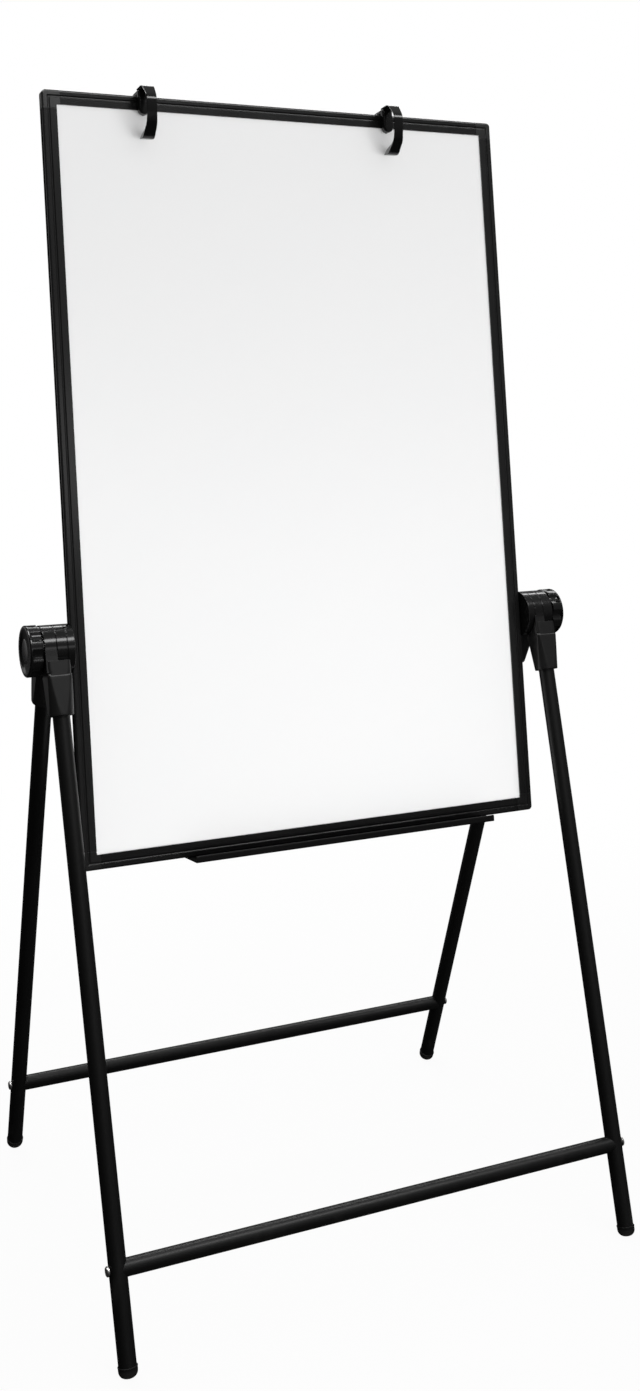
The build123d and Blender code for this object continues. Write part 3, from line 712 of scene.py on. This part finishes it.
def rounded_section(half_width, half_depth, radius):
    """Points round a rectangle with rounded corners, and with a point on the flat beside each corner."""
    points = []
    for x_way, y_way, start in ((1, 1, 0), (-1, 1, 90), (-1, -1, 180), (1, -1, 270)):
        centre = (x_way * (half_width - radius), y_way * (half_depth - radius))
        corner = arc(centre, radius, start, start + 90, CORNER_STEPS)
        first, last = radians(start), radians(start + 90)
        before = (corner[0][0] + BAR_SUPPORT * sin(first), corner[0][1] - BAR_SUPPORT * cos(first))
        after = (corner[-1][0] - BAR_SUPPORT * sin(last), corner[-1][1] + BAR_SUPPORT * cos(last))
        points += [before, *corner, after]
    return points


def bar(middle, outer, inner, width_at, edge, taper=0.0):
    """Vertices and faces of a bar between two edges, given as (out of the frame, above its top).

    Its section is narrower at the inner edge by the taper, and its two ends are rounded a little.
    """
    stations, rings = [], []
    for near, far in zip(outer, inner, strict=True):
        centre, reach, half_width = (near + far) / 2, (near - far) / 2, width_at(near)
        radius = min(edge, reach.length * LARGEST_CORNER, half_width * LARGEST_CORNER)
        stations.append((centre, reach, half_width, radius))
        rings.append((centre, reach, rounded_section(half_width, reach.length, radius)))
    for at_end in (False, True):
        centre, reach, half_width, radius = stations[-1 if at_end else 0]
        along = (centre - stations[-2 if at_end else 1][0]).normalized()
        for turn in (radians(angle) for angle in END_TURNS):
            inset = radius * (1 - cos(turn))
            corner = max(radius - inset, radius * LEAST_CORNER)
            section = rounded_section(half_width - inset, reach.length - inset, corner)
            place = centre + along * END_ROUND * sin(turn)
            rings.insert(len(rings) if at_end else 0, (place, reach, section))
    skin = []
    for centre, reach, section in rings:
        ring = []
        for across, depth in section:
            out, above = centre + reach.normalized() * depth
            narrowed = across * (1 - taper * (0.5 - depth / (2 * reach.length)))
            place = board_out * (board_face + out) + board_up * (board_high + above)
            ring.append(hub + board_across * (middle + narrowed - hub.x) + place)
        skin.append(ring)
    first, last = (sum(ring, Vector()) / len(ring) for ring in (skin[0], skin[-1]))
    return [first, *(point for ring in skin for point in ring), last], ring_skin(len(skin), len(skin[0]))


print("hook bars start from a face", round(board_face, 4), "in front of the board's middle")

# %% [markdown]
# The sizes below are read from the side: how far in front of the frame's face, and how far above its top.
# The clip's jaw is thick in front and thin behind, and its two ends are rounded when seen from the front.
# The arm is narrowest halfway down, and its section tapers towards the inner side.

# %% Hooks
# Corners of the arm's outer edge, then of its inner edge, in millimetres
HOOK_ARM = (
    [(5.0, 6.1), (24.0, 6.1), (37.3, -10.6), (36.4, -29.0), (33.0, -43.0), (17.5, -57.0), (6.3, -54.7)],
    [(5.0, 2.7), (22.4, 2.7), (33.8, -12.2), (33.2, -29.0), (29.5, -41.0), (16.8, -44.5), (9.4, -46.6)],
)
# Half of the arm's width at each of these heights, in millimetres
ARM_SPREAD = [(-60.0, 7.9), (-45.0, 7.5), (-29.0, 6.9), (-11.0, 6.9), (5.0, 8.6), (10.0, 8.6)]
ARM_EDGE, ARM_TAPER, CLIP_EDGE = 1.2 * MM, 0.5, 2.6 * MM
ARM_BEND, CLIP_BEND, CLIP_INNER_BEND = 5.5 * MM, 3.0 * MM, 0.6 * MM
CLIP_GAP, CLIP_JAW, CLIP_WALL, CLIP_ROOF = 0.3 * MM, 9.0 * MM, 3.0 * MM, 5.7 * MM
CLIP_FRONT_DROP, CLIP_BACK_DROP, CLIP_HALF, TIP_ROUND = 25.0 * MM, 18.0 * MM, 7.0 * MM, 6.0 * MM
TIP_CURVE, TIP_STEPS = TIP_ROUND - END_ROUND, (0.0, 0.06, 0.2, 0.4, 0.7, 1.0)


def arm_half_width(point):
    for (low, low_half), (high, high_half) in zip(ARM_SPREAD, ARM_SPREAD[1:]):
        if low * MM <= point.y <= high * MM:
            return (low_half + (high_half - low_half) * (point.y / MM - low) / (high - low)) * MM
    return ARM_SPREAD[0][1] * MM


def clip_half_width(point):
    drop = CLIP_FRONT_DROP if point.x > 0 else CLIP_BACK_DROP
    short = max(TIP_CURVE - (point.y + drop - END_ROUND), 0.0)
    return CLIP_HALF - TIP_CURVE + sqrt(max(TIP_CURVE**2 - short**2, 0.0))


def clip_edges():
    """The clip's outer and inner edge, from the front jaw's tip over the rail to the tip behind it."""
    back = -2 * board_face
    front_out, front_in = CLIP_GAP + CLIP_JAW, CLIP_GAP
    back_in, back_out = back - CLIP_GAP, back - CLIP_GAP - CLIP_WALL
    front_tip = [-CLIP_FRONT_DROP + END_ROUND + TIP_CURVE * step for step in TIP_STEPS]
    back_tip = [-CLIP_BACK_DROP + END_ROUND + TIP_CURVE * step for step in reversed(TIP_STEPS)]
    edges = []
    for front_x, top, back_x, bend in (
        (front_out, CLIP_ROOF, back_out, CLIP_BEND),
        (front_in, CLIP_GAP, back_in, CLIP_INNER_BEND),
    ):
        corners = [(front_x, front_tip[-1]), (front_x, top), (back_x, top), (back_x, back_tip[0])]
        start = [Vector((front_x, above)) for above in front_tip[:-1]]
        end = [Vector((back_x, above)) for above in back_tip[1:]]
        edges.append(start + softened(corners, bend) + end)
    return edges


def add_hook(side_name):
    node = f"hook_{side_name}"
    low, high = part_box(node)
    middle = (low.x + high.x) / 2
    outer, inner = (softened([Vector(corner) * MM for corner in line], ARM_BEND) for line in HOOK_ARM)
    vertices, faces = bar(middle, outer, inner, arm_half_width, ARM_EDGE, ARM_TAPER)
    clip_vertices, clip_faces = bar(middle, *clip_edges(), clip_half_width, CLIP_EDGE)
    faces += [tuple(index + len(vertices) for index in corners) for corners in clip_faces]
    return add_piece(f"flip_chart_{node}", vertices + clip_vertices, faces, node)


for side_name in sides:
    hook = add_hook(side_name)
    print(hook.name, len(hook.data.polygons), "faces, height", round(hook.dimensions.z, 4))

# %% [markdown]
# ## The camera
#
# The camera stands a little left of the easel, just over a metre above the floor, and looks slightly down.
# Three turns say where it looks: to the side, down, and a small roll. The lens is given for a 36 mm sensor
# along the picture's long side, and its shift takes in the floor without tilting the camera any further.

# %% Camera
SENSOR, CAMERA_REACH = 36.0, 60.0
CAMERA_PLACE = Vector((-0.763, -1.6733, 1.0831))
CAMERA_YAW, CAMERA_PITCH, CAMERA_ROLL = radians(24.24), radians(6.47), radians(0.352)
CAMERA_LENS, CAMERA_SHIFT = 38.79, (0.01287, -0.12624)

ahead = Vector((sin(CAMERA_YAW) * cos(CAMERA_PITCH), cos(CAMERA_YAW) * cos(CAMERA_PITCH), -sin(CAMERA_PITCH)))
level_right = Vector((cos(CAMERA_YAW), -sin(CAMERA_YAW), 0))
level_up = level_right.cross(ahead)
right = level_right * cos(CAMERA_ROLL) + level_up * sin(CAMERA_ROLL)
up = level_up * cos(CAMERA_ROLL) - level_right * sin(CAMERA_ROLL)

lens = bpy.data.cameras.new("camera")
lens.sensor_width, lens.lens = SENSOR, CAMERA_LENS
lens.shift_x, lens.shift_y = CAMERA_SHIFT
lens.clip_end = CAMERA_REACH
camera = bpy.data.objects.new("camera", lens)
camera.matrix_world = Matrix.Translation(CAMERA_PLACE) @ Matrix((right, up, -ahead)).transposed().to_4x4()
bpy.context.scene.collection.objects.link(camera)
bpy.context.scene.camera = camera
print("camera", round((CAMERA_PLACE - hub).length, 2), "m from the hub axis")

# %% [markdown]
# ## Floor and light
#
# Black objects are lit by what they reflect. So the room is planned twice: once as the light that falls on
# the white board and the floor, and once as the picture of the room that black paint mirrors. The floor is
# a pale disc that turns into plain white light further out, so no horizon shows. Only the camera sees it:
# it sends no light up and leaves no mirror image in the tubes, and that keeps their undersides dark.

# %% Floor
FLOOR_RADIUS, FLOOR_SIDES, FLOOR_PATCH = 9.0, 96, 0.4
PALE_UNTIL, WHITE_FROM, FLOOR_GLOW = 0.5, 1.9, 0.94


def add_floor():
    material, place = start_finish("pale_floor", Roughness=0.9, Specular_IOR_Level=0.1)
    tree = material.node_tree
    away = place.stretched((1, 1, 0)).length()
    feed(material, Base_Color=cloud(place, FLOOR_PATCH).tint(grey(0.93), grey(0.95)))
    light = place.node("Emission", {}, {"Color": grey(1.0), "Strength": 1.0})
    shader = Socket(tree.nodes["Principled BSDF"].outputs[0])
    share = FLOOR_GLOW + (1 - FLOOR_GLOW) * away.rise(PALE_UNTIL, WHITE_FROM)
    mixed = place.node("MixShader", {}, {0: share, 1: shader, 2: light})
    tree.links.new(mixed.output, tree.nodes["Material Output"].inputs["Surface"])
    shape = bmesh.new()
    bmesh.ops.create_circle(shape, cap_ends=True, segments=FLOOR_SIDES, radius=FLOOR_RADIUS)
    mesh = bpy.data.meshes.new("floor")
    shape.to_mesh(mesh)
    shape.free()
    mesh.materials.append(material)
    floor = bpy.data.objects.new("floor", mesh)
    bpy.context.scene.collection.objects.link(floor)
    floor.visible_glossy = floor.visible_diffuse = False
    return floor


print("floor", round(add_floor().dimensions.x, 1), "m across")

# %% [markdown]
# The world answers each ray by its kind. The camera sees plain white. A matt surface receives a soft light
# that is a third weaker from the left. A glossy one sees a room that is nearly black below, grows lighter
# through eye level and again under the ceiling, and is darkest on the left. A soft window stands behind
# the easel on the left, and the outer side of the left rail shines with it. These gradients shade every
# tube from a light upper side to a dark lower one.

# %% The room around the easel
SOFT_LIGHT, SOFT_LEFT = 0.475, 0.68
ROOM_BELOW, ROOM_LEVEL, ROOM_ABOVE, ROOM_LEFT = 0.03, 0.15, 0.15, 0.3
LEVEL_RISE, CEILING_RISE, RIGHT_RISE = (-0.35, 0.4), (0.45, 0.75), (-0.8, 0.3)
WINDOW_WAY, WINDOW_RISE, WINDOW = (-0.406, 0.914, 0.0), (0.965, 0.995), 0.5


def add_room():
    world = bpy.data.worlds.new("studio")
    world.use_nodes = True
    bpy.context.scene.world = world
    tree = world.node_tree
    rays = tree.nodes.new("ShaderNodeLightPath")
    seen, mirrored = Socket(rays.outputs["Is Camera Ray"]), Socket(rays.outputs["Is Glossy Ray"])
    way = Socket(tree.nodes.new("ShaderNodeTexCoord").outputs["Generated"])
    height, rightward = way.along((0, 0, 1)), way.along((1, 0, 0)).rise(*RIGHT_RISE)
    room = ROOM_BELOW + ROOM_LEVEL * height.rise(*LEVEL_RISE) + ROOM_ABOVE * height.rise(*CEILING_RISE)
    window = WINDOW * way.along(WINDOW_WAY).rise(*WINDOW_RISE)
    room = room * (ROOM_LEFT + (1 - ROOM_LEFT) * rightward) + window
    soft = SOFT_LIGHT * (SOFT_LEFT + (1 - SOFT_LEFT) * rightward)
    strength = seen + (1 - seen) * (mirrored * room + (1 - mirrored) * soft)
    tree.links.new(strength.output, tree.nodes["Background"].inputs["Strength"])
    tree.nodes["Background"].inputs["Color"].default_value = grey(1.0)
    return world


print("room:", len(add_room().node_tree.nodes), "nodes")

# %% [markdown]
# The lamps are of two kinds too. Strip lights draw the two long streaks along the hubs, one from in front
# and above and one from behind, and only glossy surfaces see them. Two smaller lamps of that kind put a
# gleam on the hooks and on the flat front of the left socket. Broad panels light the two sides of the
# board without showing in anything. A lamp's size is what shows in a glossy surface: a long thin light
# gives a long thin streak.

# %% Lights
def add_light(name, place, target, size, brightness, streak):
    """An area light of (width, height) metres that points at a target and is this bright at every point."""
    lamp = bpy.data.lights.new(name, "AREA")
    lamp.shape, lamp.size, lamp.size_y = "RECTANGLE", size[0], size[1]
    lamp.energy = brightness * pi * size[0] * size[1]
    light = bpy.data.objects.new(name, lamp)
    light.location = place
    light.rotation_euler = (Vector(target) - Vector(place)).to_track_quat("-Z", "Y").to_euler()
    light.visible_diffuse, light.visible_glossy = not streak, streak
    bpy.context.scene.collection.objects.link(light)
    return light


add_light("strip_front", (0.45, -1.5, 2.9), hub, (2.4, 0.55), 8.5, streak=True)
add_light("strip_back", (1.0, 1.9, 2.6), hub, (3.4, 0.4), 6.5, streak=True)
add_light("lamp_above", (-0.9, 0.35, 2.6), (-0.18, -0.13, 1.37), (0.9, 0.9), 14, streak=True)
add_light("lamp_low", (0.2, -2.3, 1.5), (-0.33, -0.1, 0.68), (0.6, 0.4), 1.05, streak=True)
add_light("panel_front", (0.3, -2.3, 0.7), hub, (3.0, 1.4), 3.6, streak=False)
add_light("panel_back", (-0.35, 2.6, 1.1), hub, (2.4, 1.2), 3.5, streak=False)
bpy.context.scene.view_settings.view_transform = "Standard"

# %% [markdown]
# ## Hand over
# The finish must not change the size of the easel.
